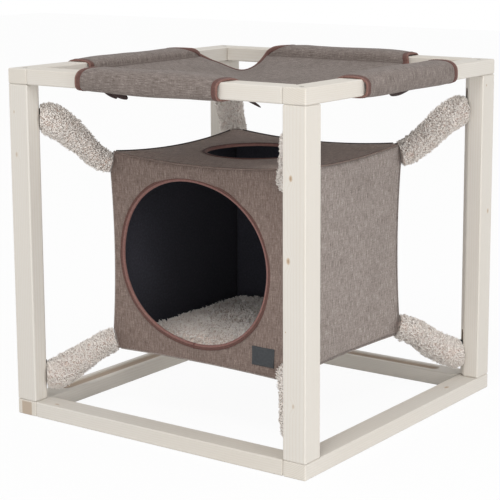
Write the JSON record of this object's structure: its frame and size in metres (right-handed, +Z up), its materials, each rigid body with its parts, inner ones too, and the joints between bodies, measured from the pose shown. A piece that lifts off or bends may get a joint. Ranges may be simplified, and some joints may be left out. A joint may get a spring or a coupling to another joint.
{
  "type": "cat hammock",
  "caption": "Pine cube frame with a fabric hammock sleeved over its top rails and a fabric cave with a round entrance hung inside on plush legs.",
  "frame": {"origin": "centre of the frame's footprint, on the floor", "axes": "+Z up, -Y towards the front, where the cave's round entrance is, +X to the right seen from the front"},
  "size_m": [0.6174, 0.6174, 0.6113],
  "materials": {
    "pine": "whitewashed, matt",
    "beech": "bare",
    "steel": "zinc plated",
    "webbing": "black nylon webbing",
    "canvas": "heathered woven canvas",
    "tape": "woven binding tape",
    "label": "woven patch, blank",
    "plush": "long curly pile"
  },
  "bodies": {
    "frame": {"bottom_dowel_back_left": "beech", "bottom_dowel_back_right": "beech", "bottom_dowel_front_left": "beech", "bottom_dowel_front_right": "beech", "bottom_rail_back": "pine", "bottom_rail_front": "pine", "bottom_rail_left": "pine", "bottom_rail_right": "pine", "bottom_screw_back_left": "steel", "bottom_screw_back_right": "steel", "bottom_screw_front_left": "steel", "bottom_screw_front_right": "steel", "hammock_sheet": "canvas", "hammock_tape_back_left": "tape", "hammock_tape_back_right": "tape", "hammock_tape_front_left": "tape", "hammock_tape_front_right": "tape", "lower_leg_back_left": "plush", "lower_leg_back_right": "plush", "lower_leg_front_left": "plush", "lower_leg_front_right": "plush", "lower_strap_back_left": "webbing", "lower_strap_back_right": "webbing", "lower_strap_front_left": "webbing", "lower_strap_front_right": "webbing", "post_back_left": "pine", "post_back_right": "pine", "post_front_left": "pine", "post_front_right": "pine", "top_dowel_back_left": "beech", "top_dowel_back_right": "beech", "top_dowel_front_left": "beech", "top_dowel_front_right": "beech", "top_rail_back": "pine", "top_rail_front": "pine", "top_rail_left": "pine", "top_rail_right": "pine", "top_screw_back_left": "steel", "top_screw_back_right": "steel", "top_screw_front_left": "steel", "top_screw_front_right": "steel", "upper_leg_back_left": "plush", "upper_leg_back_right": "plush", "upper_leg_front_left": "plush", "upper_leg_front_right": "plush", "upper_strap_back_left": "webbing", "upper_strap_back_right": "webbing", "upper_strap_front_left": "webbing", "upper_strap_front_right": "webbing"},
    "cave": {"cave_wall_front": "canvas", "cave_wall_back": "canvas", "cave_wall_left": "canvas", "cave_wall_right": "canvas", "cave_roof": "canvas", "cave_floor": "canvas", "entrance_rim": "tape", "roof_rim": "tape", "blank_label": "label", "cushion": "plush"}
  },
  "joints": [
    {"name": "cave_bounce", "type": "slide", "parent": "frame", "child": "cave", "axis": [0, 0, 1], "range_m": [-0.03, 0.01], "stiffness_N_per_m": 1600, "springref_m": 0.0092, "deforming": ["lower_leg_back_left", "lower_leg_back_right", "lower_leg_front_left", "lower_leg_front_right", "upper_leg_back_left", "upper_leg_back_right", "upper_leg_front_left", "upper_leg_front_right"]}
  ]
}
